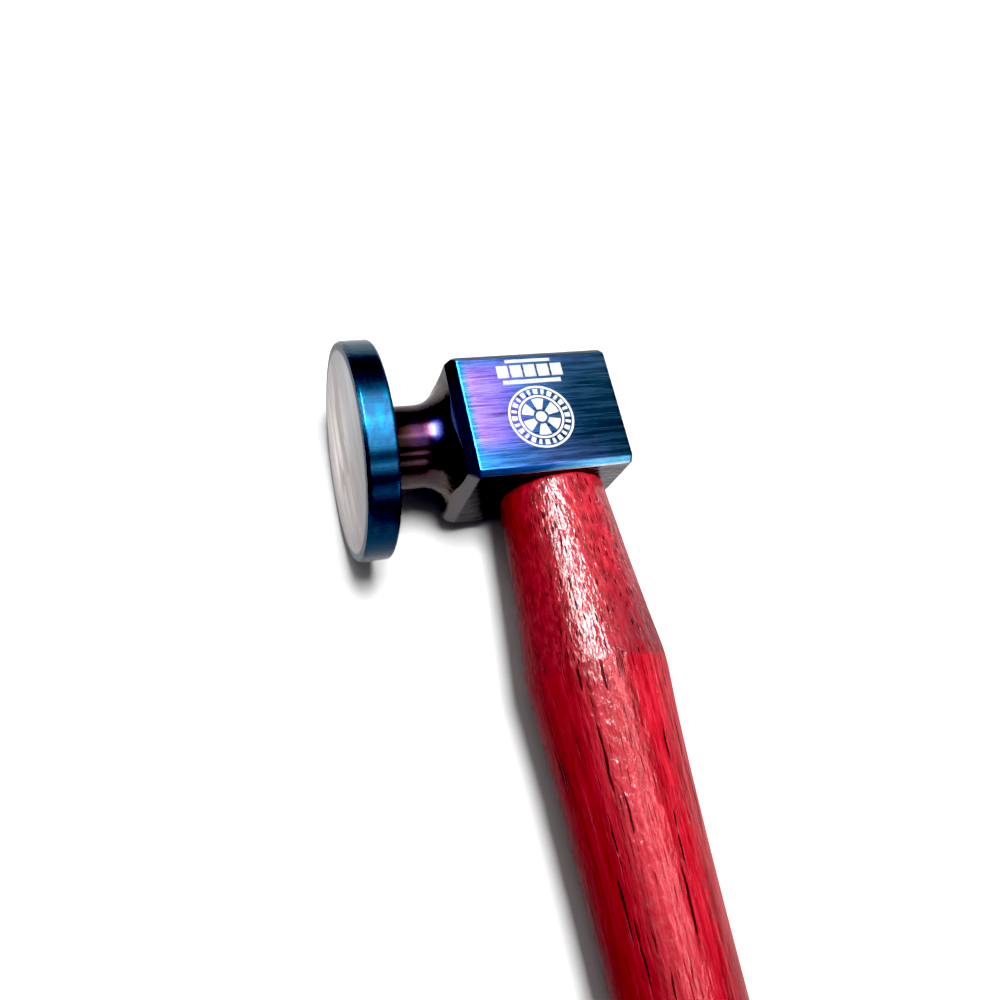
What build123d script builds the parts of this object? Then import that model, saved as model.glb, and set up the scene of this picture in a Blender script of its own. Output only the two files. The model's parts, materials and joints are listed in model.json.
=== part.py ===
from build123d import *
import os
from math import atan2, cos, degrees, radians, sin, tan

# Dead blow mallet for sheet metal: a metal head with a disc face, a turned neck and a square block,
# a sealed chamber of loose steel shot in the head, and a turned wooden handle wedged in the eye.
#
# The tool is drawn in its own axes, in millimetres: X runs along the head from the striking face to the
# rear, Y runs up the handle from the butt to the head, and both centre lines cross at the origin. At the
# end the whole tool is rolled about the handle until it lies on a table, touching it with the disc's rim,
# the block's rear lower edge and the grip, and the origin moves to the middle of its footprint.

# Head, measured along X from the disc's back
DISC_R = 19.05
DISC_T = 5.35
RIM_BEVEL_L = 0.55
RIM_BEVEL_H = 0.35
NECK_R = 7.35
NECK_L = 7.2
COVE_R = 5.0
SHOULDER_X = NECK_L + COVE_R
HEAD_REAR = 42.2
EYE_AT = 29.95
ROOT_FILLET = 0.8
EDGE_R = 0.6

# Block
BLOCK_W = 22.8
BLOCK_HALF = BLOCK_W / 2
BLOCK_BEVEL = 1.1
NOSE_BEVEL_L = 2.0
NOSE_BEVEL_ANGLE = 30.0
NOSE_START = SHOULDER_X - 1.6
TURNED_R = 18.0

# Striking face, a crowned plate with a threaded boss that closes the shot chamber
FACE_R = 18.6
FACE_T = 2.2
FACE_CROWN = 0.6
BOSS_R = 6.0
BOSS_L = 3.0
BOSS_RELIEF = 0.3

# O-ring under the striking face
SEAL_RING_R = 8.0
SEAL_R = 0.5
SEAL_GAP = 0.02

# Shot chamber and its charge
CHAMBER_R = 5.6
CHAMBER_END = 18.7
BUFFER_T = 1.5
BUFFER_GAP = 0.05
BALL_R = 1.75
BALLS_IN_RING = 6
SHOT_LAYERS = 3
LAYER_PITCH = 2 * BALL_R + 0.02
SHOT_GAP = 0.1

# Eye and wedges
EYE_R_BOTTOM = 8.2
EYE_R_TOP = 8.7
TENON_PROUD = 0.3
KERF_DEPTH = 15.0
KERF_TIP_W = 0.6
KERF_TOP_W = 3.0
RING_WEDGE_R = 4.6
RING_WEDGE_WALL = 1.3
RING_WEDGE_EDGE = 0.4
RING_WEDGE_DEPTH = 7.0

# Handle, as distances down the handle from the head's centre line and radii there
TOOL_LENGTH = 305.0
BUTT_AT = TOOL_LENGTH - DISC_R
COLLAR_R = 9.5
COLLAR_ROUND = 0.7
UPPER_CONE_AT = 28.0
UPPER_CONE_R = 10.65
LOWER_CONE_AT = 38.0
LOWER_CONE_R = 11.5
SWELL_AT = 44.5
SWELL_R = 12.15
SHANK_AT = 64.0
SHANK_R = 10.95
WAIST_AT = 104.0
WAIST_R = 10.15
GRIP_START_AT = 176.0
GRIP_START_R = 11.5
GRIP_AT = 250.0
BUTT_R = 12.0
BUTT_ROUND = 5.0

# Slopes of the handle's outline: growth of the radius per millimetre down the handle
COLLAR_SLOPE = 0.07
CONE_END_SLOPE = 0.1
SHANK_START_SLOPE = -0.09
HEEL_SLOPE = -0.08

# A quarter arc's middle lies this share of its radius inside the corner of its two end tangents.
ARC_MIDDLE = 1 - cos(radians(45))

# Side of the blocks of stock that cuts and joins are made with
STOCK = 50.0

# The line that touches the disc's back rim and the block's rear lower edge is the table's line.
DISC_RIM = (-EYE_AT - EDGE_R, EDGE_R - DISC_R)
REAR_EDGE = (HEAD_REAR - EYE_AT - EDGE_R, EDGE_R - BLOCK_HALF)
ROLL = atan2(REAR_EDGE[1] - DISC_RIM[1], REAR_EDGE[0] - DISC_RIM[0])
AXIS_HEIGHT = EDGE_R - DISC_RIM[1] * cos(ROLL) + DISC_RIM[0] * sin(ROLL)
GRIP_R = AXIS_HEIGHT


def along_head(distance):
    """X of a point given by its distance behind the disc's back."""
    return distance - EYE_AT


def turned_about_x(*edges):
    """Solid of revolution about the head's axis from a closed outline of X and radius."""
    return revolve(make_face(Wire(edges)), Axis.X)


def turned_about_y(*edges):
    """Solid of revolution about the handle's axis from a closed outline of radius and Y."""
    return revolve(make_face(Wire(edges)), Axis.Y)


def rod_x(radius, start, end):
    """Round bar along the head, from one distance behind the disc's back to another."""
    return Pos(along_head((start + end) / 2), 0, 0) * Rot(0, 90, 0) * Cylinder(radius, end - start)


def turned_blank():
    """Disc, neck and cove as turned, with stock left behind the shoulder for the block."""
    front = along_head(-DISC_T)
    back = along_head(0)
    neck_end = along_head(NECK_L)
    shoulder = along_head(SHOULDER_X)
    rear = along_head(HEAD_REAR)
    bevel_start = (front, DISC_R - RIM_BEVEL_H)
    rim_start = (front + RIM_BEVEL_L, DISC_R)
    rim_end = (back - EDGE_R, DISC_R)
    rim_middle = (back - EDGE_R * ARC_MIDDLE, DISC_R - EDGE_R * ARC_MIDDLE)
    back_start = (back, DISC_R - EDGE_R)
    root_start = (back, NECK_R + ROOT_FILLET)
    root_middle = (back + ROOT_FILLET * ARC_MIDDLE, NECK_R + ROOT_FILLET * ARC_MIDDLE)
    neck_start = (back + ROOT_FILLET, NECK_R)
    cove_start = (neck_end, NECK_R)
    cove_middle = (shoulder - COVE_R * ARC_MIDDLE, NECK_R + COVE_R * ARC_MIDDLE)
    cove_end = (shoulder, NECK_R + COVE_R)
    return turned_about_x(
        Line((front, 0), bevel_start),
        Line(bevel_start, rim_start),
        Line(rim_start, rim_end),
        ThreePointArc(rim_end, rim_middle, back_start),
        Line(back_start, root_start),
        ThreePointArc(root_start, root_middle, neck_start),
        Line(neck_start, cove_start),
        ThreePointArc(cove_start, cove_middle, cove_end),
        Line(cove_end, (shoulder, TURNED_R)),
        Line((shoulder, TURNED_R), (rear, TURNED_R)),
        Line((rear, TURNED_R), (rear, 0)),
        Line((rear, 0), (front, 0)),
    )


def milled_block():
    """Square block with bevelled long edges, rounded rear edges and a bevelled nose on all four sides."""
    length = HEAD_REAR - NOSE_START
    block = Pos(along_head(NOSE_START + length / 2), 0, 0) * Box(length, BLOCK_W, BLOCK_W)
    block = chamfer(block.edges().filter_by(Axis.X), BLOCK_BEVEL)
    block = fillet(block.faces().sort_by(Axis.X)[-1].edges(), EDGE_R)
    nose_length = SHOULDER_X + NOSE_BEVEL_L - NOSE_START
    nose_half = BLOCK_HALF - nose_length * tan(radians(NOSE_BEVEL_ANGLE))
    base = Plane(origin=(along_head(NOSE_START), 0, 0), z_dir=(1, 0, 0))
    far = base.offset(length)
    far_half = nose_half + length * tan(radians(NOSE_BEVEL_ANGLE))
    nose = loft([base * Rectangle(2 * nose_half, 2 * nose_half), far * Rectangle(2 * far_half, 2 * far_half)])
    return block & nose


def eye_taper(top):
    """Tapered round plug that fills the eye, from the block's underside up to a given Y."""
    slope = (EYE_R_TOP - EYE_R_BOTTOM) / BLOCK_W
    top_r = EYE_R_BOTTOM + slope * (top + BLOCK_HALF)
    return turned_about_y(
        Line((0, -BLOCK_HALF), (EYE_R_BOTTOM, -BLOCK_HALF)),
        Line((EYE_R_BOTTOM, -BLOCK_HALF), (top_r, top)),
        Line((top_r, top), (0, top)),
        Line((0, top), (0, -BLOCK_HALF)),
    )


def make_head_body():
    """One-piece head: turned, milled, bored for the shot and for the striking face, and with its eye."""
    front_of_block = Pos(along_head(NOSE_START) - STOCK / 2, 0, 0) * Box(STOCK, STOCK, STOCK)
    head = turned_blank() & (front_of_block + milled_block())
    head -= rod_x(FACE_R, -DISC_T - 1, FACE_T - DISC_T)
    head -= rod_x(BOSS_R, -DISC_T, FACE_T - DISC_T + BOSS_L + BOSS_RELIEF)
    head -= rod_x(CHAMBER_R, -DISC_T, CHAMBER_END)
    return head - eye_taper(BLOCK_HALF + 1)


def make_striking_face():
    """Crowned plate with its boss and the groove for the O-ring."""
    rim_x = along_head(-DISC_T)
    seat_x = rim_x + FACE_T
    boss_end = seat_x + BOSS_L
    crown_sag = FACE_CROWN / 4
    plate = turned_about_x(
        ThreePointArc((rim_x - FACE_CROWN, 0), (rim_x - FACE_CROWN + crown_sag, FACE_R / 2), (rim_x, FACE_R)),
        Line((rim_x, FACE_R), (seat_x, FACE_R)),
        Line((seat_x, FACE_R), (seat_x, BOSS_R)),
        Line((seat_x, BOSS_R), (boss_end, BOSS_R)),
        Line((boss_end, BOSS_R), (boss_end, 0)),
        Line((boss_end, 0), (rim_x - FACE_CROWN, 0)),
    )
    groove_depth = 2 * SEAL_R + SEAL_GAP
    groove_half = SEAL_R + SEAL_GAP
    start = FACE_T - DISC_T - groove_depth
    groove = rod_x(SEAL_RING_R + groove_half, start, FACE_T - DISC_T)
    groove -= rod_x(SEAL_RING_R - groove_half, start, FACE_T - DISC_T)
    return plate - groove


def make_face_seal():
    """O-ring in the striking face's groove."""
    centre_x = along_head(FACE_T - DISC_T) - SEAL_R - SEAL_GAP / 2
    return Pos(centre_x, 0, 0) * Rot(0, 90, 0) * Torus(SEAL_RING_R, SEAL_R)


def make_chamber_buffer():
    """Elastomer pad on the chamber's rear wall."""
    return rod_x(CHAMBER_R - BUFFER_GAP, CHAMBER_END - BUFFER_T, CHAMBER_END)


def make_shot():
    """Loose balls in layers of one at the centre and a ring round it, resting against the buffer."""
    balls = []
    last_layer = along_head(CHAMBER_END - BUFFER_T) - SHOT_GAP - BALL_R
    for layer in range(SHOT_LAYERS):
        x = last_layer - layer * LAYER_PITCH
        balls.append(Pos(x, 0, 0) * Sphere(BALL_R))
        ring = PolarLocations(LAYER_PITCH, BALLS_IN_RING, start_angle=30)
        for place in ring:
            centre = place.position
            balls.append(Pos(x, centre.X, centre.Y) * Sphere(BALL_R))
    return Compound(balls)


def kerf_plug():
    """Tapered plug as wide as the kerf is when the wedge is driven home."""
    top = BLOCK_HALF + TENON_PROUD
    tip = BLOCK_HALF - KERF_DEPTH
    outline = Polyline(
        (-KERF_TIP_W / 2, tip),
        (KERF_TIP_W / 2, tip),
        (KERF_TOP_W / 2, top),
        (-KERF_TOP_W / 2, top),
        close=True,
    )
    side = Plane(origin=(0, 0, 0), x_dir=(0, 0, 1), z_dir=(-1, 0, 0))
    return extrude(side * make_face(outline), amount=EYE_R_TOP + 1, both=True)


def make_ring_wedge():
    """Round steel wedge: a short tube that thins to an edge at its lower end."""
    top = BLOCK_HALF + TENON_PROUD
    tip = top - RING_WEDGE_DEPTH
    middle = RING_WEDGE_R - RING_WEDGE_WALL / 2
    return turned_about_y(
        Line((RING_WEDGE_R, top), (middle + RING_WEDGE_EDGE / 2, tip)),
        Line((middle + RING_WEDGE_EDGE / 2, tip), (middle - RING_WEDGE_EDGE / 2, tip)),
        Line((middle - RING_WEDGE_EDGE / 2, tip), (RING_WEDGE_R - RING_WEDGE_WALL, top)),
        Line((RING_WEDGE_R - RING_WEDGE_WALL, top), (RING_WEDGE_R, top)),
    )


def make_kerf_wedge(ring_wedge):
    """Wooden wedge, trimmed to the eye and split at its top by the ring wedge."""
    return (kerf_plug() & eye_taper(BLOCK_HALF + TENON_PROUD)) - ring_wedge


def turned_grip():
    """The handle below the head: collar, cone, swell, waist, grip and rounded butt."""
    collar_y = -BLOCK_HALF
    collar_start = (COLLAR_R - COLLAR_ROUND, collar_y)
    collar_middle = (COLLAR_R - COLLAR_ROUND * ARC_MIDDLE, collar_y - COLLAR_ROUND * ARC_MIDDLE)
    cone_start = (COLLAR_R, collar_y - COLLAR_ROUND)
    upper_cone = (UPPER_CONE_R, -UPPER_CONE_AT)
    lower_cone = (LOWER_CONE_R, -LOWER_CONE_AT)
    swell = (SWELL_R, -SWELL_AT)
    shank = (SHANK_R, -SHANK_AT)
    waist = (WAIST_R, -WAIST_AT)
    grip_start = (GRIP_START_R, -GRIP_START_AT)
    grip = (GRIP_R, -GRIP_AT)
    butt_start = (BUTT_R, BUTT_ROUND - BUTT_AT)
    butt_middle = (BUTT_R - BUTT_ROUND * ARC_MIDDLE, BUTT_ROUND * ARC_MIDDLE - BUTT_AT)
    butt_end = (BUTT_R - BUTT_ROUND, -BUTT_AT)
    cone_ends = ((COLLAR_SLOPE, -1), (CONE_END_SLOPE, -1))
    shank_ends = ((SHANK_START_SLOPE, -1), (0, -1))
    heel_ends = ((0, -1), (HEEL_SLOPE, -1))
    return turned_about_y(
        Line((0, collar_y), collar_start),
        ThreePointArc(collar_start, collar_middle, cone_start),
        Spline(cone_start, upper_cone, lower_cone, swell, tangents=cone_ends),
        Spline(swell, shank, waist, tangents=shank_ends),
        Spline(waist, grip_start, grip, tangents=((0, -1), (0, -1))),
        Spline(grip, butt_start, tangents=heel_ends),
        ThreePointArc(butt_start, butt_middle, butt_end),
        Line(butt_end, (0, -BUTT_AT)),
        Line((0, -BUTT_AT), (0, collar_y)),
    )


def make_handle(ring_wedge):
    """Handle with its tenon, spread in the eye by the wedges."""
    handle = turned_grip() + eye_taper(BLOCK_HALF + TENON_PROUD)
    return handle - kerf_plug() - ring_wedge


def make_parts():
    """Every piece by its node's name, in the tool's own axes."""
    ring_wedge = make_ring_wedge()
    return {
        "head_body": make_head_body(),
        "striking_face": make_striking_face(),
        "face_seal": make_face_seal(),
        "chamber_buffer": make_chamber_buffer(),
        "shot": make_shot(),
        "handle": make_handle(ring_wedge),
        "kerf_wedge": make_kerf_wedge(ring_wedge),
        "ring_wedge": ring_wedge,
    }


def resting_place(parts):
    """The roll and shift that lay the tool on a table with the origin in the middle of its footprint."""
    rolled = Rot(0, degrees(ROLL), 0)
    box = Compound([rolled * part for part in parts.values()]).bounding_box()
    return Pos(-box.center().X, -box.center().Y, AXIS_HEIGHT) * rolled


def main():
    os.makedirs("parts", exist_ok=True)
    parts = make_parts()
    place = resting_place(parts)
    for node, part in parts.items():
        export_step(place * part, f"parts/{node}.step")
    print("roll", round(degrees(ROLL), 3), "axis height", round(AXIS_HEIGHT, 3), "place", place)


main()
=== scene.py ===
import json
from math import cos, pi, radians, sin, tan

import bmesh
import bpy
from mathutils import Matrix, Vector


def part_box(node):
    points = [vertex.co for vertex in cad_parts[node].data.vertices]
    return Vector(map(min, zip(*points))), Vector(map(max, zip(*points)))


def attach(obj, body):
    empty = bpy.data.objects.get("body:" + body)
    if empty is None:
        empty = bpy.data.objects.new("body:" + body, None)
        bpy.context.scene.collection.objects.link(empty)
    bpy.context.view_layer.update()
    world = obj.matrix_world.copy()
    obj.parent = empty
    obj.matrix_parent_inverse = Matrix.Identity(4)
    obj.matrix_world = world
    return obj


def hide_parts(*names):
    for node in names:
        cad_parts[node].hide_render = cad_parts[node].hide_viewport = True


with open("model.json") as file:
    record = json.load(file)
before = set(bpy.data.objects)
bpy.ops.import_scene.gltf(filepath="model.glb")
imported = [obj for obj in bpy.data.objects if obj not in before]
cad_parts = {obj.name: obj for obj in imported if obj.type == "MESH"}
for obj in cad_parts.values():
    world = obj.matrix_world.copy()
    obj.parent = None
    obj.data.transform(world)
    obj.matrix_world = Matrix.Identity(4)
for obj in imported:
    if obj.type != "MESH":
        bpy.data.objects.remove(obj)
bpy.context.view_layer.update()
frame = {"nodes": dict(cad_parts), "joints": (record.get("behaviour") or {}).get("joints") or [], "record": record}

MM = 0.001

# ------------------------------------------------------------------ the tool's axes, from the record

MOUNTS = {mount["name"]: mount for mount in frame["record"]["mounts"]}
SLIDE = frame["joints"][0]


def tool_axes():
    """Matrix from the tool's axes in mm (X to the head's rear, Y up the handle) to the row frame in m."""
    origin = Vector(MOUNTS["eye_axis"]["pos_m"])
    x = -Vector(SLIDE["axis"])
    y = Vector(MOUNTS["eye_axis"]["axis"])
    z = x.cross(y)
    turn = Matrix((x, y, z)).transposed().to_4x4()
    return Matrix.Translation(origin) @ turn @ Matrix.Scale(MM, 4)


TOOL = tool_axes()
TO_TOOL = TOOL.inverted()


def in_tool(mount):
    """A mount's point in the tool's axes, in mm."""
    return TO_TOOL @ Vector(MOUNTS[mount]["pos_m"])


BLOCK_TOP = in_tool("block_side").z
DISC_BACK_AT = -29.95
NOSE_AT = -15.75
HANDLE_LOW, HANDLE_HIGH = (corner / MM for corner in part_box("handle"))
GRIP_R = (HANDLE_HIGH.x - HANDLE_LOW.x) / 2
BUTT_AT = MOUNTS["eye_axis"]["pos_m"][1] / MM - HANDLE_LOW.y

# ------------------------------------------------------------------ camera

CAMERA_AT = (-60.65, -64.0, 141.7)
CAMERA_AIM = (-9.68, -11.75, 0.0)
CAMERA_UP = (0.106, 0.9201, 0.3772)
CAMERA_LENS = 32.43
CAMERA_SENSOR = 36.0


def make_camera():
    camera = bpy.data.objects.new("camera", bpy.data.cameras.new("camera"))
    bpy.context.scene.collection.objects.link(camera)
    spot = TOOL @ Vector(CAMERA_AT)
    back = (spot - TOOL @ Vector(CAMERA_AIM)).normalized()
    up_hint = (TOOL.to_3x3() @ Vector(CAMERA_UP)).normalized()
    right = up_hint.cross(back).normalized()
    up = back.cross(right)
    turn = Matrix((right, up, back)).transposed().to_4x4()
    camera.matrix_world = Matrix.Translation(spot) @ turn
    camera.data.lens = CAMERA_LENS
    camera.data.sensor_width = CAMERA_SENSOR
    camera.data.clip_start = 0.005
    camera.data.clip_end = 20.0
    bpy.context.scene.camera = camera


# ------------------------------------------------------------------ light and floor


def direction(tilt_x, tilt_y):
    """Unit vector from the floor's middle towards a light tilted from overhead by two angles in degrees."""
    return Vector((tan(radians(tilt_x)), tan(radians(tilt_y)), 1)).normalized()


def area_light(name, tilts, distance, spread, radiance, mirrored=True, lights=True):
    """Rectangular soft light that faces the head, spread over two full angles in degrees.

    mirrored: it shows in reflections; lights: it lights matt surfaces.
    """
    aim = TOOL.translation
    data = bpy.data.lights.new(name, "AREA")
    data.shape = "RECTANGLE"
    data.size = 2 * distance * tan(radians(spread[0] / 2))
    data.size_y = 2 * distance * tan(radians(spread[1] / 2))
    data.energy = radiance * pi * data.size * data.size_y
    light = bpy.data.objects.new(name, data)
    bpy.context.scene.collection.objects.link(light)
    away = direction(*tilts)
    side = (Vector((1, 0, 0)) - away * away.x).normalized()
    turn = Matrix((side, away.cross(side), away)).transposed().to_4x4()
    light.matrix_world = Matrix.Translation(aim + away * distance) @ turn
    light.visible_glossy = mirrored
    light.visible_diffuse = lights


def make_lights():
    """A key that casts the shadow, a soft overhead light, and panels that only show as reflections."""
    area_light("key", (9, 2.5), 2.0, (15, 20), 86.0, mirrored=False)
    area_light("soft_sky", (2, 4), 1.9, (62, 60), 0.75, mirrored=False)
    area_light("window", (-9, 17), 2.0, (14, 30), 210.0, lights=False)
    area_light("window_side", (-20, -8), 2.0, (7, 14), 5.0, lights=False)
    area_light("strip", (23, -7), 2.0, (12, 34), 26.0, lights=False)
    area_light("side_panel", (29, 29), 2.0, (15, 22), 2.6, lights=False)
    area_light("far_panel", (50, 28), 2.0, (24, 24), 1.1, lights=False)
    area_light("low_window", (31, -43), 1.6, (14, 7), 20.0, lights=False)
    area_light("end_window", (63, -73), 1.6, (10, 10), 20.0, lights=False)


def make_world():
    """A pale horizon below a dim room: the sky's brightness falls with height."""
    world = bpy.data.worlds.new("studio")
    bpy.context.scene.world = world
    world.use_nodes = True
    tree = world.node_tree
    background = tree.nodes["Background"]
    place = tree.nodes.new("ShaderNodeTexCoord")
    split = tree.nodes.new("ShaderNodeSeparateXYZ")
    ramp = tree.nodes.new("ShaderNodeValToRGB")
    ramp.color_ramp.elements[0].position = 0.02
    ramp.color_ramp.elements[0].color = (0.10, 0.10, 0.10, 1)
    ramp.color_ramp.elements[1].position = 0.30
    ramp.color_ramp.elements[1].color = (0.04, 0.042, 0.048, 1)
    tree.links.new(place.outputs["Generated"], split.inputs[0])
    tree.links.new(split.outputs["Z"], ramp.inputs["Fac"])
    tree.links.new(ramp.outputs["Color"], background.inputs["Color"])
    background.inputs["Strength"].default_value = 1.0


FLOOR_R = 3.0
FLOOR_GREY = 0.5


def make_floor():
    bpy.ops.mesh.primitive_circle_add(vertices=96, radius=FLOOR_R, fill_type="NGON")
    floor = bpy.context.active_object
    floor.name = "floor"
    material = bpy.data.materials.new("floor_white")
    material.use_nodes = True
    shader = material.node_tree.nodes["Principled BSDF"]
    shader.inputs["Base Color"].default_value = (FLOOR_GREY, FLOOR_GREY, FLOOR_GREY, 1)
    shader.inputs["Roughness"].default_value = 0.9
    shader.inputs["Specular IOR Level"].default_value = 0.2
    floor.data.materials.append(material)


# ------------------------------------------------------------------ node helpers


class Shader:
    """A node material being built: short calls for the nodes that the materials below use."""

    def __init__(self, name):
        self.material = bpy.data.materials.new(name)
        self.material.use_nodes = True
        self.tree = self.material.node_tree
        self.bsdf = self.tree.nodes["Principled BSDF"]

    def node(self, kind, inputs=None, **settings):
        made = self.tree.nodes.new(kind)
        for key, value in settings.items():
            setattr(made, key, value)
        for key, value in (inputs or {}).items():
            self.put(made.inputs[key], value)
        return made

    def put(self, socket, value):
        """Links a socket to a node's output, or sets its value."""
        if isinstance(value, bpy.types.NodeSocket):
            self.tree.links.new(value, socket)
        else:
            socket.default_value = value

    def math(self, operation, a, b=0.0, clamp=False):
        made = self.node("ShaderNodeMath", operation=operation, use_clamp=clamp)
        self.put(made.inputs[0], a)
        self.put(made.inputs[1], b)
        return made.outputs[0]

    def mix(self, share, a, b, blend="MIX"):
        made = self.node("ShaderNodeMix", data_type="RGBA", blend_type=blend)
        self.put(made.inputs["Factor"], share)
        self.put(made.inputs["A"], a)
        self.put(made.inputs["B"], b)
        return made.outputs["Result"]

    def tinted(self, colour, share, strength, tint):
        """The colour with a tint over it, by share times strength."""
        return self.mix(self.math("MULTIPLY", share, strength), colour, tint)

    def blend(self, share, a, b):
        """Number between a and b by share."""
        made = self.node("ShaderNodeMix", data_type="FLOAT")
        self.put(made.inputs["Factor"], share)
        self.put(made.inputs["A"], a)
        self.put(made.inputs["B"], b)
        return made.outputs["Result"]

    def tool_place(self, scale=(1, 1, 1), turn=(0, 0, 0), shift=(0, 0, 0)):
        """Position in the tool's axes in mm, then turned, scaled and shifted."""
        mapping = self.node("ShaderNodeMapping", vector_type="POINT")
        self.put(mapping.inputs["Vector"], self.to_tool(self.node("ShaderNodeTexCoord").outputs["Object"]))
        mapping.inputs["Location"].default_value = shift
        mapping.inputs["Rotation"].default_value = turn
        mapping.inputs["Scale"].default_value = scale
        return mapping.outputs["Vector"]

    def to_tool(self, place):
        """Row-frame metres to the tool's axes in mm."""
        quaternion = TO_TOOL.to_3x3().normalized().to_quaternion()
        centred = self.node("ShaderNodeVectorMath", operation="SUBTRACT")
        self.put(centred.inputs[0], place)
        centred.inputs[1].default_value = TOOL.translation
        turned = self.node("ShaderNodeVectorRotate", rotation_type="AXIS_ANGLE")
        self.put(turned.inputs["Vector"], centred.outputs[0])
        turned.inputs["Axis"].default_value = quaternion.axis
        turned.inputs["Angle"].default_value = quaternion.angle
        scaled = self.node("ShaderNodeVectorMath", operation="SCALE")
        self.put(scaled.inputs[0], turned.outputs[0])
        scaled.inputs["Scale"].default_value = 1 / MM
        return scaled.outputs[0]

    def split(self, vector):
        made = self.node("ShaderNodeSeparateXYZ")
        self.put(made.inputs[0], vector)
        return made.outputs

    def noise(self, vector, scale, detail=3.0, roughness=0.5, distortion=0.0):
        made = self.node("ShaderNodeTexNoise")
        self.put(made.inputs["Vector"], vector)
        made.inputs["Scale"].default_value = scale
        made.inputs["Detail"].default_value = detail
        made.inputs["Roughness"].default_value = roughness
        made.inputs["Distortion"].default_value = distortion
        return made.outputs["Fac"]

    def warp(self, vector, place, scale, amount):
        """The vector moved sideways by a slow noise over place."""
        made = self.node("ShaderNodeTexNoise")
        self.put(made.inputs["Vector"], place)
        made.inputs["Scale"].default_value = scale
        moved = self.node("ShaderNodeVectorMath", operation="MULTIPLY_ADD")
        self.put(moved.inputs[0], made.outputs["Color"])
        moved.inputs[1].default_value = (amount, 0, amount)
        self.put(moved.inputs[2], vector)
        return moved.outputs[0]

    def voronoi(self, vector, scale, feature="F1", randomness=1.0):
        made = self.node("ShaderNodeTexVoronoi", feature=feature)
        self.put(made.inputs["Vector"], vector)
        made.inputs["Scale"].default_value = scale
        made.inputs["Randomness"].default_value = randomness
        return made.outputs["Distance"]

    def ramp(self, value, *stops):
        """Colour ramp; each stop is (position, colour)."""
        made = self.node("ShaderNodeValToRGB")
        self.put(made.inputs["Fac"], value)
        elements = made.color_ramp.elements
        while len(elements) < len(stops):
            elements.new(1.0)
        for element, (position, colour) in zip(elements, stops):
            element.position = position
            element.color = (*colour, 1)
        return made.outputs["Color"]

    def step(self, value, low, high):
        """0 below low, 1 above high, smooth between."""
        made = self.node("ShaderNodeMapRange", interpolation_type="SMOOTHSTEP")
        self.put(made.inputs["Value"], value)
        made.inputs["From Min"].default_value = low
        made.inputs["From Max"].default_value = high
        return made.outputs["Result"]

    def bump(self, height, distance_mm, strength=1.0, under=None):
        made = self.node("ShaderNodeBump")
        self.put(made.inputs["Height"], height)
        made.inputs["Strength"].default_value = strength
        made.inputs["Distance"].default_value = distance_mm * MM
        if under is not None:
            self.put(made.inputs["Normal"], under)
        return made.outputs["Normal"]

    def across_lines(self, straight):
        """Tangent across brush lines, which run along the head where straight is 1, else round it."""
        around = self.node("ShaderNodeTangent", direction_type="RADIAL", axis="X").outputs[0]
        along = self.node("ShaderNodeVectorMath", operation="CROSS_PRODUCT")
        self.put(along.inputs[0], self.node("ShaderNodeNewGeometry").outputs["Normal"])
        self.put(along.inputs[1], around)
        made = self.node("ShaderNodeMix", data_type="VECTOR")
        self.put(made.inputs[0], straight)
        self.put(made.inputs[4], along.outputs[0])
        self.put(made.inputs[5], around)
        return made.outputs[1]

    def set(self, **values):
        for name, value in values.items():
            self.put(self.bsdf.inputs[name.replace("_", " ")], value)


# ------------------------------------------------------------------ metal


def block_film(s, x, y, z, streak):
    """Film on the block: azure at the nose's edge, then violet, blue, and teal to the rear; real temper colours,
    made brighter towards the nose by painted reflection.
    """
    cloud = s.noise(s.tool_place(scale=(0.5, 0.5, 0.5)), 0.35, 3.0, 0.6)
    drift = s.math("ADD", s.math("MULTIPLY", streak, 11.0), s.math("MULTIPLY", cloud, 5.0))
    along = s.math("DIVIDE", s.math("SUBTRACT", s.math("ADD", x, drift), NOSE_AT + 7.0), 29.0)
    # temper colours along the block; their brightness rising towards the nose is painted reflection
    middle = s.ramp(
        along,
        (0.02, (0.200, 0.125, 0.430)),
        (0.16, (0.145, 0.092, 0.390)),
        (0.34, (0.060, 0.065, 0.300)),
        (0.46, (0.024, 0.068, 0.200)),
        (0.58, (0.020, 0.050, 0.110)),
        (0.74, (0.012, 0.031, 0.064)),
        (0.95, (0.013, 0.032, 0.060)),
    )
    borders = s.ramp(
        along,
        (0.0, (0.022, 0.130, 0.400)),
        (0.5, (0.032, 0.060, 0.165)),
        (1.0, (0.013, 0.036, 0.062)),
    )
    film = s.mix(s.step(s.math("ABSOLUTE", s.math("SUBTRACT", y, 1.5)), 10.0, 5.5), borders, middle)
    edge = s.step(s.math("ADD", x, s.math("MULTIPLY", streak, 2.0)), NOSE_AT + 2.6, NOSE_AT + 1.2)
    film = s.mix(edge, film, (0.014, 0.150, 0.420, 1))
    below_top = s.step(z, BLOCK_TOP - 0.05, BLOCK_TOP - 0.25)
    # painted shade: the bevel along the top face's far edge is darkened
    film = s.mix(s.math("MULTIPLY", below_top, s.step(y, 9.0, 10.0)), film, (0.010, 0.020, 0.045, 1))
    # painted highlight: the bevel on the handle's side brightens towards the rear as a glint
    bevel_painted_glint = s.ramp(s.step(x, -6.0, 7.0), (0.0, (0.003, 0.020, 0.080)), (1.0, (0.030, 0.110, 0.190)))
    film = s.mix(s.math("MULTIPLY", below_top, s.step(y, -9.0, -10.0)), film, bevel_painted_glint)
    # grey underside, lightening towards the rear as painted reflection of the lit floor
    underside_grey_and_reflection = s.ramp(
        s.step(x, -14.0, 10.0),
        (0.0, (0.020, 0.016, 0.020)),
        (0.6, (0.060, 0.056, 0.062)),
        (1.0, (0.130, 0.124, 0.132)),
    )
    return s.mix(s.step(y, -BLOCK_TOP + 0.35, -BLOCK_TOP + 0.05), film, underside_grey_and_reflection)


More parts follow.
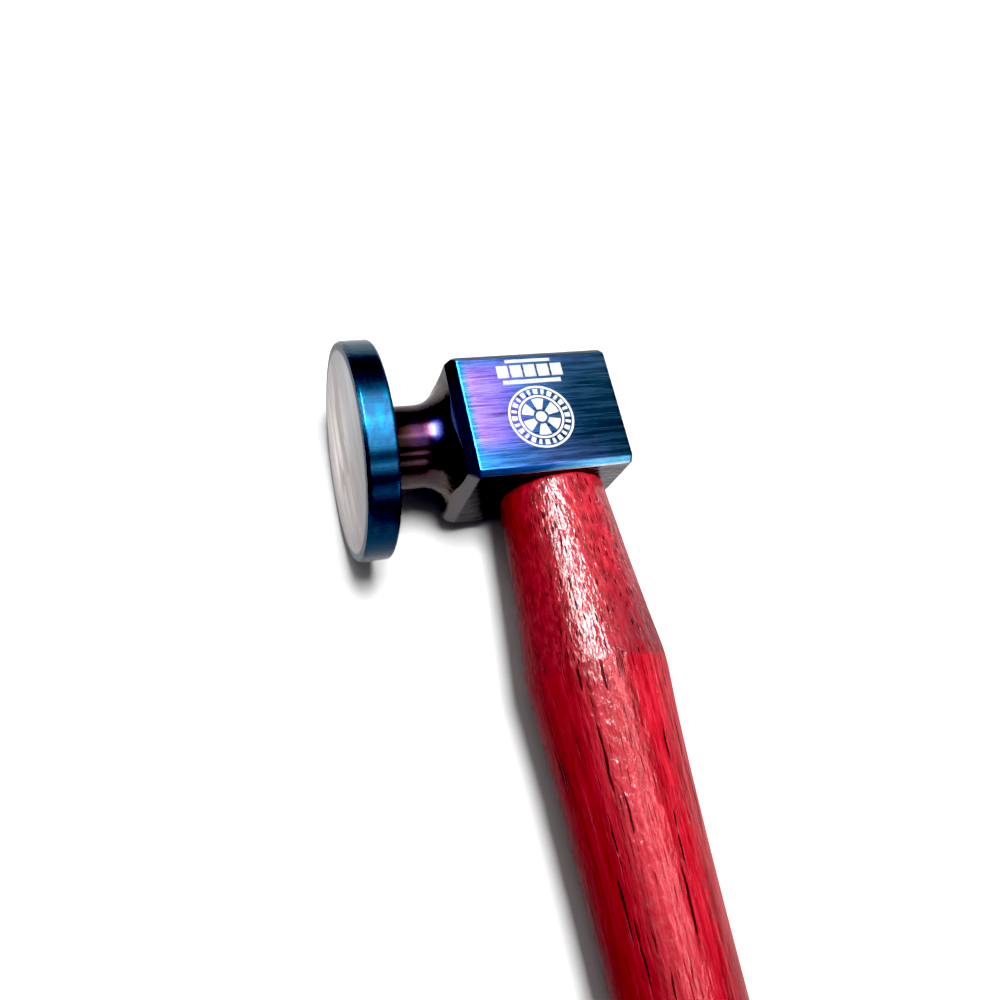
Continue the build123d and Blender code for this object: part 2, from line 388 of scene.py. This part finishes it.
def rim_film(s, y):
    """Film on the disc's rim: patchy blue, with painted shade darkening it towards the handle and painted
    highlight paling it away from the handle.
    """
    patches = s.noise(s.tool_place(scale=(1.0, 0.3, 0.3)), 1.1, 4.0, 0.65)
    film = s.mix(s.step(patches, 0.38, 0.66), (0.008, 0.030, 0.066, 1), (0.004, 0.056, 0.118, 1))
    # painted shade: darker on the side towards the handle
    film = s.tinted(film, s.step(y, -2.0, -9.0), 0.6, (0.005, 0.014, 0.034, 1))
    # painted highlight: paler, then grey, on the side away from the handle
    film = s.mix(s.step(y, 8.0, 11.0), film, (0.030, 0.068, 0.100, 1))
    return s.mix(s.step(y, 15.5, 18.0), film, (0.090, 0.100, 0.115, 1))


def neck_film(s, x, y, z):
    """Film on the neck: brown to violet, darkened near the disc and in a band below its middle as painted shade,
    with a painted blue glint, painted shade on top of its flare and painted reflection paling its sides.
    """
    film = s.ramp(
        s.noise(s.tool_place(scale=(0.6, 0.4, 0.4)), 0.75, 3.0, 0.6),
        (0.36, (0.018, 0.011, 0.011)),
        (0.50, (0.030, 0.010, 0.022)),
        (0.64, (0.016, 0.009, 0.030)),
    )
    # painted shade: dark brown near the disc, dimming the highlight there
    film = s.mix(s.step(x, -24.0, -27.0), film, (0.0075, 0.0050, 0.0042, 1))
    # painted shade: a dark band below the neck's middle hides a reflected line
    painted_shade_band = s.step(s.math("ABSOLUTE", s.math("ADD", y, 2.7)), 1.6, 0.8)
    film = s.tinted(film, painted_shade_band, 0.75, (0.003, 0.002, 0.002, 1))
    # painted blue glint at the highlight's end on the flare
    painted_blue_glint_band = s.step(s.math("ABSOLUTE", s.math("ADD", y, 0.4)), 3.0, 1.6)
    film = s.mix(s.math("MULTIPLY", painted_blue_glint_band, s.step(x, -22.2, -20.6)), film, (0.012, 0.014, 0.060, 1))
    # painted shade on top of the flare
    flare_top_painted_shade = s.math("MULTIPLY", s.step(x, -20.2, -19.2), s.step(z, 1.0, 3.0))
    film = s.mix(flare_top_painted_shade, film, (0.002, 0.003, 0.008, 1))
    # painted reflection: pale sides, fuller on the flare than on the neck
    sides = s.step(s.math("ABSOLUTE", y), 3.5, 6.5)
    sides = s.math("MULTIPLY", sides, s.blend(s.step(x, -21.2, -18.4), 0.4, 1.0))
    return s.mix(sides, film, (0.088, 0.070, 0.066, 1))


def blued_metal():
    """Metal under a blue to violet film, brushed along the block and round the turned parts."""
    s = Shader("blued_metal")
    x, y, z = s.split(s.tool_place())
    block = s.step(x, NOSE_AT - 0.3, NOSE_AT + 0.1)
    nose = s.step(x, NOSE_AT - 2.4, NOSE_AT - 1.8)
    neck = s.step(x, DISC_BACK_AT - 0.4, DISC_BACK_AT + 0.4)
    streak = s.noise(s.tool_place(scale=(0.03, 0.8, 0.8)), 1.9, 6.0, 0.68)
    fine = s.noise(s.tool_place(scale=(0.03, 1.0, 1.0)), 7.0, 3.0, 0.75)
    turned_lines = s.noise(s.tool_place(scale=(1.0, 0.02, 0.02)), 7.0, 3.0, 0.7)
    # the film, and the nose's facets: dark, but pale on the handle's side as painted reflection of the floor
    turned = s.mix(neck, rim_film(s, y), neck_film(s, x, y, z))
    # painted reflection: the facets on the handle's side are pale grey
    below = s.math("MULTIPLY", s.step(y, -8.8, -9.6), s.step(z, 10.2, 9.4))
    facets = s.mix(below, (0.004, 0.006, 0.018, 1), (0.075, 0.068, 0.075, 1))
    colour = s.mix(block, s.mix(nose, turned, facets), block_film(s, x, y, z, streak))
    # brush lines and a few deeper scratches shade it
    broad_lines = s.blend(s.step(streak, 0.35, 0.65), 0.55, 1.45)
    brush = s.math("MULTIPLY", s.blend(s.step(fine, 0.35, 0.65), 0.6, 1.35), broad_lines)
    scratches = s.step(s.noise(s.tool_place(scale=(0.025, 1.0, 1.0)), 3.4, 2.0, 0.5), 0.60, 0.68)
    brush = s.math("MULTIPLY", brush, s.blend(scratches, 1.0, 0.45))
    shade = s.blend(block, s.blend(turned_lines, 0.7, 1.3), brush)
    grey = s.node("ShaderNodeCombineColor", {0: shade, 1: shade, 2: shade}).outputs[0]
    # the nose's facets are sharp, the rest is satin
    satin = s.blend(streak, 0.20, 0.34)
    height = s.blend(block, turned_lines, s.math("ADD", s.math("MULTIPLY", streak, 0.6), fine))
    rounded = s.node("ShaderNodeBevel", {"Radius": 0.22 * MM}, samples=4).outputs[0]
    s.set(
        Base_Color=s.mix(1.0, colour, grey, "MULTIPLY"),
        Metallic=1.0,
        Roughness=s.blend(nose, satin, s.blend(block, 0.12, satin)),
        Normal=s.bump(height, 0.02, 0.5, under=rounded),
        Tangent=s.across_lines(block),
    )
    s.bsdf.inputs["Anisotropic"].default_value = 0.7
    s.put(s.bsdf.inputs["Specular Tint"], (0.7, 0.7, 0.7, 1))
    return s.material


def bare_metal():
    """Satin bare metal, rubbed in one direction, dull in patches and darker towards its edge."""
    s = Shader("bare_metal")
    _, y, z = s.split(s.tool_place())
    rubbed = s.noise(s.tool_place(scale=(1.0, 0.07, 0.6)), 0.9, 5.0, 0.65)
    patch = s.noise(s.tool_place(scale=(1.0, 0.10, 0.30), shift=(2, 1, 4)), 0.7, 4.0, 0.6)
    fine = s.noise(s.tool_place(scale=(1.0, 0.05, 1.2)), 5.0, 3.0, 0.6)
    dull = s.math("MULTIPLY", s.step(patch, 0.46, 0.58), s.step(s.math("ABSOLUTE", z), 12.0, 3.0))
    colour = s.mix(s.step(rubbed, 0.30, 0.66), (0.28, 0.240, 0.225, 1), (0.60, 0.555, 0.545, 1))
    for share, strength, tint in (
        (dull, 0.8, (0.17, 0.130, 0.118, 1)),
        (s.step(z, 1.0, 12.0), 0.7, (0.27, 0.285, 0.305, 1)),
        (s.step(z, -6.0, -15.0), 0.6, (0.22, 0.195, 0.190, 1)),
        (s.step(y, 3.0, -8.0), 0.5, (0.12, 0.100, 0.092, 1)),
        (s.step(s.math("ABSOLUTE", y), 7.0, 17.0), 0.7, (0.20, 0.190, 0.200, 1)),
    ):
        colour = s.tinted(colour, share, strength, tint)
    from_middle = s.math("SQRT", s.math("ADD", s.math("POWER", y, 2.0), s.math("POWER", z, 2.0)))
    colour = s.mix(s.step(from_middle, 17.2, 17.7), colour, (0.018, 0.028, 0.045, 1))
    s.set(
        Base_Color=colour,
        Metallic=1.0,
        Roughness=s.blend(fine, 0.30, 0.46),
        Normal=s.bump(fine, 0.01, 0.4),
    )
    s.put(s.bsdf.inputs["Specular Tint"], (0.75, 0.75, 0.75, 1))
    return s.material


def steel(name, colour, roughness):
    s = Shader(name)
    grain = s.noise(s.tool_place(), 1.7, 4.0, 0.6)
    s.set(
        Base_Color=s.mix(grain, tuple(0.8 * c for c in colour[:3]) + (1,), colour),
        Metallic=1.0,
        Roughness=s.blend(grain, roughness * 0.8, roughness * 1.3),
        Normal=s.bump(grain, 0.02, 0.3),
    )
    return s.material


def rubber():
    s = Shader("seal_rubber")
    grain = s.noise(s.tool_place(), 6.0, 2.0, 0.5)
    s.set(
        Base_Color=s.mix(grain, (0.012, 0.012, 0.012, 1), (0.03, 0.03, 0.03, 1)),
        Roughness=s.blend(grain, 0.55, 0.75),
        Normal=s.bump(grain, 0.02, 0.3),
    )
    return s.material


# ------------------------------------------------------------------ wood


FIBRE_LEAN = (radians(-1.6), 0, radians(1.0))


def wood_pores(s, cone):
    """Depth of the vessels cut open along the fibre: short slits on the cone, long ones below it."""
    bands = s.noise(s.tool_place(scale=(0.5, 0.010, 0.25), turn=FIBRE_LEAN), 0.9, 3.0, 0.55)
    long_place = s.warp(s.tool_place(scale=(1, 0.034, 1), turn=FIBRE_LEAN), s.tool_place(), 0.16, 0.9)
    fine_place = s.tool_place(scale=(1, 0.05, 1), turn=FIBRE_LEAN, shift=(3, 9, 5))
    fine_place = s.warp(fine_place, s.tool_place(), 0.2, 0.5)
    short_place = s.tool_place(scale=(1, 0.17, 1), turn=FIBRE_LEAN, shift=(7, 2, 1))
    ragged = s.math("MULTIPLY", s.noise(s.tool_place(scale=(1, 0.5, 1)), 2.0, 2.0, 0.6), 0.10)
    long_pores = s.step(s.math("ADD", s.voronoi(long_place, 0.85), ragged), 0.28, 0.20)
    long_pores = s.math("MULTIPLY", long_pores, s.step(bands, 0.42, 0.50))
    short_pores = s.step(s.math("ADD", s.voronoi(short_place, 1.45), ragged), 0.28, 0.20)
    short_pores = s.math("MULTIPLY", short_pores, s.step(bands, 0.34, 0.46))
    fine_pores = s.math("MULTIPLY", s.step(s.voronoi(fine_place, 2.1), 0.24, 0.14), 0.55)
    return s.math("MAXIMUM", s.blend(cone, long_pores, short_pores), fine_pores)


def wood_stain(s, x, down, cone, streaks):
    """Red stain in long streaks, with painted shade darkening it down the handle and on its left side; the cone is
    blotchy and worn above the swell.
    """
    broad = s.noise(s.tool_place(scale=(0.4, 0.03, 0.4), turn=FIBRE_LEAN), 0.5, 3.0, 0.5)
    blotch = s.noise(s.tool_place(scale=(1.0, 0.5, 1.0)), 0.9, 5.0, 0.66)
    fibres = s.noise(s.tool_place(scale=(2.4, 0.04, 2.4), turn=FIBRE_LEAN, shift=(5, 5, 5)), 1.1, 3.0, 0.6)
    tone = s.math("ADD", s.math("MULTIPLY", streaks, 0.62), s.math("MULTIPLY", broad, 0.38))
    body = s.ramp(
        tone,
        (0.34, (0.040, 0.0015, 0.0030)),
        (0.43, (0.140, 0.0025, 0.0055)),
        (0.53, (0.290, 0.0070, 0.0150)),
        (0.64, (0.390, 0.0210, 0.0340)),
    )
    body = s.tinted(body, s.step(fibres, 0.58, 0.68), 0.5, (0.42, 0.030, 0.045, 1))
    # painted shade: darker down the handle
    body = s.tinted(body, s.step(down, 55.0, 100.0), 0.40, (0.110, 0.0015, 0.0040, 1))
    upper = s.ramp(
        s.math("ADD", s.math("MULTIPLY", tone, 0.5), s.math("MULTIPLY", blotch, 0.5)),
        (0.38, (0.070, 0.0030, 0.0060)),
        (0.47, (0.200, 0.0060, 0.0120)),
        (0.57, (0.340, 0.0160, 0.0270)),
    )
    worn = s.math("MULTIPLY", s.step(down, SWELL_AT - 19.0, SWELL_AT - 4.0), s.step(x, -4.0, 5.0))
    worn = s.math("MULTIPLY", s.math("MULTIPLY", worn, cone), s.step(blotch, 0.34, 0.58))
    upper = s.tinted(upper, worn, 0.9, (0.085, 0.0100, 0.0150, 1))
    # painted shade: darker on the handle's left side
    return s.tinted(s.mix(cone, body, upper), s.step(x, -2.0, -9.0), 0.55, (0.060, 0.0010, 0.0030, 1))


def stained_wood():
    """Open-grained wood under a translucent stain and varnish; its fibres lean off the handle's axis."""
    s = Shader("stained_wood")
    x, y, _ = s.split(s.tool_place())
    down = s.math("MULTIPLY", y, -1.0)
    cone = s.step(down, SWELL_AT + 0.8, SWELL_AT - 0.8)
    pores = wood_pores(s, cone)
    streak_place = s.warp(s.tool_place(scale=(1.2, 0.045, 1.2), turn=FIBRE_LEAN), s.tool_place(), 0.2, 0.8)
    streaks = s.noise(streak_place, 1.3, 6.0, 0.75)
    colour = s.mix(pores, wood_stain(s, x, down, cone, streaks), (0.014, 0.0012, 0.0020, 1))
    # surface: raised fibres, with the pores sunk into them
    fuzz = s.noise(s.tool_place(scale=(1, 0.22, 1), turn=FIBRE_LEAN), 1.6, 3.0, 0.55)
    peel = s.noise(s.tool_place(scale=(1, 0.5, 1)), 0.95, 2.0, 0.5)
    peel = s.math("MULTIPLY", peel, s.blend(cone, 0.7, 1.3))
    relief = s.math("ADD", s.math("MULTIPLY", fuzz, 0.7), s.math("MULTIPLY", peel, 1.2))
    height = s.math("SUBTRACT", relief, s.math("MULTIPLY", pores, 0.9))
    s.set(Base_Color=colour, Roughness=s.blend(fuzz, 0.45, 0.65), Normal=s.bump(height, 0.13))
    # varnish: none in the pores, rubbed off along both sides, streaky below the cone
    rubbed = s.math("MULTIPLY", s.step(x, -2.0, -8.0), 0.85)
    rubbed = s.math("ADD", rubbed, s.math("MULTIPLY", s.step(x, 5.0, 9.5), 0.85))
    gloss = s.math("MULTIPLY", s.math("SUBTRACT", 1.0, pores, clamp=True), s.math("SUBTRACT", 0.95, rubbed))
    streaky = s.blend(s.step(streaks, 0.44, 0.60), 0.55, 1.0)
    gloss = s.math("MULTIPLY", gloss, s.blend(cone, streaky, 1.0))
    s.put(s.bsdf.inputs["Coat Weight"], gloss)
    s.put(s.bsdf.inputs["Coat Normal"], s.bump(height, 0.19))
    s.bsdf.inputs["Specular IOR Level"].default_value = 0.03
    s.bsdf.inputs["Coat Roughness"].default_value = 0.17
    s.bsdf.inputs["Coat IOR"].default_value = 1.25
    return s.material


def plain_wood():
    s = Shader("plain_wood")
    rings = s.noise(s.tool_place(scale=(0.2, 0.05, 1.0)), 1.6, 4.0, 0.6)
    pores = s.step(s.voronoi(s.tool_place(scale=(1, 0.02, 1)), 2.4), 0.22, 0.10)
    colour = s.mix(rings, (0.22, 0.10, 0.035, 1), (0.46, 0.27, 0.12, 1))
    colour = s.mix(pores, colour, (0.06, 0.025, 0.01, 1))
    s.set(Base_Color=colour, Roughness=0.6, Normal=s.bump(s.math("SUBTRACT", rings, pores), 0.08, 0.6))
    return s.material


# ------------------------------------------------------------------ the handle's mesh

COLLAR_ROUND = 0.7
TENON_R = 8.2
TENON_END_R = 8.7
TENON_END = 11.65
SWELL_AT = 44.5
SWELL_BLEND = 2.6
SWELL_TURN = 0.19
BUTT_ROUND = 5.0
BUTT_R = 12.0
# distance down the handle, radius and slope there, from the collar to where the butt's rounding starts
STATIONS = [
    (BLOCK_TOP + COLLAR_ROUND, 9.50, 0.070),
    (28.0, 10.65, 0.078),
    (38.0, 11.50, 0.092),
    (SWELL_AT, 12.15, 0.100),
    (SWELL_AT, 12.15, -0.090),
    (64.0, 10.95, -0.036),
    (104.0, 10.15, 0.0),
    (176.0, 11.50, 0.026),
    (250.0, GRIP_R, 0.0),
    (BUTT_AT - BUTT_ROUND, BUTT_R, -0.080),
]


def hermite(d):
    """Radius on the cubic through the two stations round a distance down the handle."""
    for (d0, r0, m0), (d1, r1, m1) in zip(STATIONS, STATIONS[1:]):
        if d0 <= d <= d1 and d1 > d0:
            span = d1 - d0
            t = (d - d0) / span
            return (
                r0 * (1 + 2 * t) * (1 - t) ** 2
                + m0 * span * t * (1 - t) ** 2
                + r1 * t * t * (3 - 2 * t)
                + m1 * span * t * t * (t - 1)
            )
    raise ValueError(d)


def quarter_turn(steps):
    """Sine and cosine at even steps over a quarter turn."""
    return [(sin(pi / 2 * k / steps), cos(pi / 2 * k / steps)) for k in range(steps + 1)]


def handle_profile(step):
    """Points (distance down, radius) from the middle of the tenon's end to the middle of the butt."""
    collar_end, collar_r = STATIONS[0][:2]
    points = [(-TENON_END, 0.0), (-TENON_END, TENON_END_R), (BLOCK_TOP, TENON_R)]
    for across, back in quarter_turn(6):
        points.append((collar_end - COLLAR_ROUND * back, collar_r - COLLAR_ROUND * (1 - across)))
    last = BUTT_AT - BUTT_ROUND
    count = int((last - collar_end) / step)
    for k in range(1, count):
        d = collar_end + (last - collar_end) * k / count
        near = max(0.0, 1 - abs(d - SWELL_AT) / SWELL_BLEND)
        points.append((d, hermite(d) - SWELL_TURN * SWELL_BLEND / 4 * near * near))
    for along, across in quarter_turn(10):
        points.append((last + BUTT_ROUND * along, BUTT_R - BUTT_ROUND * (1 - across)))
    points.append((BUTT_AT, 0.0))
    return points


def tool_object(name, verts, faces, material):
    """A mesh given in the tool's axes in mm, put in the row frame and riding with the hammer."""
    mesh = bpy.data.meshes.new(name)
    mesh.from_pydata([TOOL @ Vector(v) for v in verts], [], faces)
    mesh.validate()
    mesh.polygons.foreach_set("use_smooth", [True] * len(mesh.polygons))
    mesh.materials.append(material)
    welded = bmesh.new()
    welded.from_mesh(mesh)
    bmesh.ops.remove_doubles(welded, verts=welded.verts, dist=0.001 * MM)
    welded.to_mesh(mesh)
    welded.free()
    mesh.set_sharp_from_angle(angle=radians(40))
    piece = bpy.data.objects.new(name, mesh)
    bpy.context.scene.collection.objects.link(piece)
    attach(piece, "hammer")
    return piece


AROUND = 144
PROFILE_STEP = 0.9


def make_handle(material):
    profile = handle_profile(PROFILE_STEP)
    verts = []
    for d, r in profile[1:-1]:
        for k in range(AROUND):
            a = 2 * pi * k / AROUND
            verts.append((r * sin(a), -d, r * cos(a)))
    rings = len(profile) - 2
    faces = []
    for ring in range(rings - 1):
        for k in range(AROUND):
            a, b = ring * AROUND + k, ring * AROUND + (k + 1) % AROUND
            faces.append((a, b, b + AROUND, a + AROUND))
    verts += [(0, -profile[-1][0], 0), (0, -profile[0][0], 0)]
    butt, tenon = len(verts) - 2, len(verts) - 1
    last_ring = (rings - 1) * AROUND
    for k in range(AROUND):
        faces.append((last_ring + k, last_ring + (k + 1) % AROUND, butt))
        faces.append(((k + 1) % AROUND, k, tenon))
    return tool_object("handle_turned", verts, faces, material)


# ------------------------------------------------------------------ the mark on the block

MARK_AT = (-2.95, 0.6)
MARK_LIFT = 0.03
DIAL_Y = -2.2
# inner radius, outer radius and steps round
RINGS = ((5.55, 5.95, 96), (3.75, 4.15, 72), (0.0, 1.0, 36))
TICKS = 24
SPOKES = 6
# lower edge, upper edge, half length and number of bars of each row
BAR_ROWS = ((4.35, 5.15, 5.6, 1), (5.65, 8.05, 6.3, 5), (8.55, 9.15, 4.4, 1))
BAR_GAP = 0.4


def sector(inner, outer, start, end, steps):
    """Corners of a flat ring sector; angles in degrees, clockwise from up the handle."""
    inside, outside = [], []
    for k in range(steps + 1):
        a = radians(start + (end - start) * k / steps)
        inside.append((inner * sin(a), inner * cos(a)))
        outside.append((outer * sin(a), outer * cos(a)))
    return inside, outside


def make_mark(material):
    """Plain white mark: a dial of rings and ticks under a row of bars."""
    verts, faces = [], []

    def add_strip(left, right):
        base = len(verts)
        for (ax, ay), (bx, by) in zip(left, right):
            verts.append((MARK_AT[0] + ax, MARK_AT[1] + ay, BLOCK_TOP + MARK_LIFT))
            verts.append((MARK_AT[0] + bx, MARK_AT[1] + by, BLOCK_TOP + MARK_LIFT))
        for k in range(len(left) - 1):
            a = base + 2 * k
            faces.append((a, a + 2, a + 3, a + 1))

    def add_sector(*shape):
        inside, outside = sector(*shape)
        add_strip([(px, py + DIAL_Y) for px, py in inside], [(px, py + DIAL_Y) for px, py in outside])

    for inner, outer, steps in RINGS:
        add_sector(inner, outer, 0, 360, steps)
    for k in range(TICKS):
        middle = 360 / TICKS * k
        half = 3.2 if k % 2 else 5.0
        add_sector(4.35, 5.35, middle - half, middle + half, 3)
    for k in range(SPOKES):
        middle = 360 / SPOKES * k
        add_sector(1.4, 3.5, middle - 19, middle + 19, 6)
    for low, high, half, bars in BAR_ROWS:
        width = 2 * half / bars
        for k in range(bars):
            left = -half + k * width + BAR_GAP / 2
            right = left + width - BAR_GAP
            add_strip([(left, low), (right, low)], [(left, high), (right, high)])
    mark = tool_object("etched_mark", verts, faces, material)
    layer = mark.modifiers.new("layer", "SOLIDIFY")
    layer.thickness = 2 * MARK_LIFT * MM
    layer.offset = -1
    return mark


def mark_white():
    s = Shader("etched_mark")
    grain = s.noise(s.tool_place(), 3.0, 3.0, 0.6)
    s.set(Base_Color=s.mix(grain, (0.38, 0.39, 0.41, 1), (0.52, 0.53, 0.54, 1)), Roughness=0.7)
    return s.material


# ------------------------------------------------------------------ put it together

make_camera()
make_world()
make_floor()
make_lights()

BLUED = blued_metal()
BARE = bare_metal()
WOOD = stained_wood()
finishes = {
    "head_body": BLUED,
    "striking_face": BARE,
    "face_seal": rubber(),
    "chamber_buffer": rubber(),
    "shot": steel("shot_steel", (0.6, 0.6, 0.61, 1), 0.15),
    "ring_wedge": steel("wedge_steel", (0.45, 0.45, 0.46, 1), 0.35),
    "kerf_wedge": plain_wood(),
}
for node, material in finishes.items():
    mesh = frame["nodes"][node].data
    mesh.materials.clear()
    mesh.materials.append(material)

turned = make_handle(WOOD)
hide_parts("handle")
make_mark(mark_white())

BLACK_LEVEL = 0.016
view = bpy.context.scene.view_settings
view.view_transform = "Standard"
view.use_curve_mapping = True
view.curve_mapping.black_level = (BLACK_LEVEL, BLACK_LEVEL, BLACK_LEVEL)
view.curve_mapping.update()
